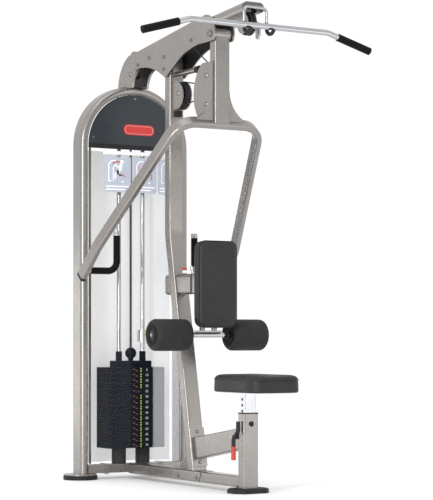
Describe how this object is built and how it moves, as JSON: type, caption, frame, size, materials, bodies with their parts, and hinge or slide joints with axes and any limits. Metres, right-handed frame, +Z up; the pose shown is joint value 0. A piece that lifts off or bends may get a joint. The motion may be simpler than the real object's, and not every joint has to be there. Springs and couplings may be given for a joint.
{
  "type": "lat pulldown and row machine",
  "caption": "Seated strength machine with an arched weight tower, an overhead pull bar, a swinging row yoke, thigh rollers, a chest pad and a seat.",
  "frame": {"origin": "on the floor in the middle of the footprint box", "axes": "+Z up, the tallest extent; -Y towards the user's seat, +Y towards the weight tower; X across"},
  "size_m": [1.1506, 1.3758, 2.094],
  "materials": {
    "frame_paint": "satin metallic",
    "rubber": "matte",
    "grip_rubber": "matte",
    "black_plastic": "satin",
    "chrome": "polished",
    "bolt_steel": "satin",
    "shield": "frosted clear sheet",
    "header": "semi-gloss",
    "stack_paint": "painted",
    "cable_black": "coated cable",
    "vinyl": "grained vinyl",
    "foam": "closed-cell foam",
    "red_plastic": "gloss"
  },
  "bodies": {
    "frame": {"tower_arch": "frame_paint", "rubber_feet": "rubber", "cross_tube": "frame_paint", "header_panel": "header", "front_shield": "shield", "rear_shield": "shield", "guide_rods": "chrome", "stack_bumpers": "rubber", "lower_plates": "stack_paint", "base_rail": "frame_paint", "column": "frame_paint", "strut": "frame_paint", "seat_post": "frame_paint", "post_collar": "black_plastic", "front_foot": "rubber", "frame_bolts": "bolt_steel", "boom_plates": "frame_paint", "boom_liner": "black_plastic", "boom_tube": "frame_paint", "boom_end_cap": "frame_paint", "rear_bracket": "frame_paint", "bar_holder": "chrome", "holder_hooks": "rubber", "front_pulley_plates": "frame_paint", "column_bracket": "frame_paint", "arm_stop": "frame_paint", "arm_stop_rubber": "rubber", "arm_pivot_shaft": "bolt_steel", "row_cable": "cable_black", "lat_cable": "cable_black"},
    "stack": {"upper_plates": "stack_paint", "head_plate": "stack_paint", "stack_stem": "stack_paint", "stack_cable": "cable_black"},
    "toggle": {"selected_toggle": "black_plastic"},
    "increment": {"increment_weight": "stack_paint"},
    "row_arm": {"arm_stem": "frame_paint", "arm_yoke": "frame_paint", "cam_plates": "frame_paint", "arm_handles": "chrome", "handle_grips": "grip_rubber", "yoke_end_caps": "black_plastic"},
    "pull_bar": {"lat_bar": "chrome", "lat_grips": "grip_rubber", "carabiner": "chrome"},
    "seat": {"seat_inner_post": "chrome", "seat_pad": "vinyl"},
    "lever": {"seat_lever": "black_plastic", "lever_tip": "red_plastic"},
    "chest": {"chest_slide": "frame_paint", "chest_pad": "vinyl"},
    "chest_pin": {"chest_knob": "chrome"},
    "rollers": {"roller_carriage": "frame_paint", "roller_shaft": "chrome", "roller_caps": "black_plastic"},
    "left_roller": {"roller_left": "foam"},
    "right_roller": {"roller_right": "foam"},
    "column_wheel": {"column_pulley": "black_plastic"},
    "front_wheel": {"front_pulley": "black_plastic"},
    "boom_wheel": {"boom_pulley": "black_plastic"}
  },
  "joints": [
    {"name": "row_arm_swing", "type": "hinge", "parent": "frame", "child": "row_arm", "pos_m": [0, -0.207, 1.994], "axis": [-1, 0, 0], "range_deg": [0, 50]},
    {"name": "stack_lift", "type": "slide", "parent": "frame", "child": "stack", "axis": [0, 0, 1], "range_m": [0, 0.4], "deforming": ["stack_cable"]},
    {"name": "toggle_slide", "type": "slide", "parent": "stack", "child": "toggle", "axis": [1, 0, 0], "range_m": [0, 0.006]},
    {"name": "increment_drop", "type": "slide", "parent": "stack", "child": "increment", "axis": [0, 0, -1], "range_m": [0, 0.04]},
    {"name": "bar_unhook", "type": "slide", "parent": "frame", "child": "pull_bar", "axis": [0, -0.4226, 0.9063], "range_m": [0, 0.06]},
    {"name": "seat_height", "type": "slide", "parent": "frame", "child": "seat", "axis": [0, 0, 1], "range_m": [0, 0.12]},
    {"name": "seat_lever_pull", "type": "hinge", "parent": "frame", "child": "lever", "pos_m": [-0.049, -0.439, 0.24], "axis": [0, -1, 0], "range_deg": [0, 14], "stiffness_Nm_per_rad": 3},
    {"name": "chest_pad_slide", "type": "slide", "parent": "frame", "child": "chest", "axis": [0, -1, 0], "range_m": [-0.05, 0.08]},
    {"name": "chest_pin_pull", "type": "slide", "parent": "frame", "child": "chest_pin", "axis": [0, 0, 1], "range_m": [0, 0.01], "stiffness_N_per_m": 600},
    {"name": "roller_height", "type": "slide", "parent": "chest", "child": "rollers", "axis": [0, 0, 1], "range_m": [0, 0.05]},
    {"name": "left_roller_spin", "type": "hinge", "parent": "rollers", "child": "left_roller", "pos_m": [-0.196, -0.108, 0.675], "axis": [1, 0, 0], "continuous": true},
    {"name": "right_roller_spin", "type": "hinge", "parent": "rollers", "child": "right_roller", "pos_m": [0.196, -0.108, 0.675], "axis": [1, 0, 0], "continuous": true},
    {"name": "column_wheel_spin", "type": "hinge", "parent": "frame", "child": "column_wheel", "pos_m": [0, 0.111, 1.768], "axis": [1, 0, 0], "continuous": true},
    {"name": "front_wheel_spin", "type": "hinge", "parent": "frame", "child": "front_wheel", "pos_m": [0, -0.439, 2.008], "axis": [1, 0, 0], "continuous": true},
    {"name": "boom_wheel_spin", "type": "hinge", "parent": "frame", "child": "boom_wheel", "pos_m": [0, 0.549, 1.935], "axis": [1, 0, 0], "continuous": true}
  ],
  "couplings": [
    {"joint": "stack_lift", "follows": "row_arm_swing", "m_per_rad": 0.44},
    {"joint": "column_wheel_spin", "follows": "row_arm_swing", "ratio": 8.4},
    {"joint": "boom_wheel_spin", "follows": "row_arm_swing", "ratio": -8.4}
  ]
}
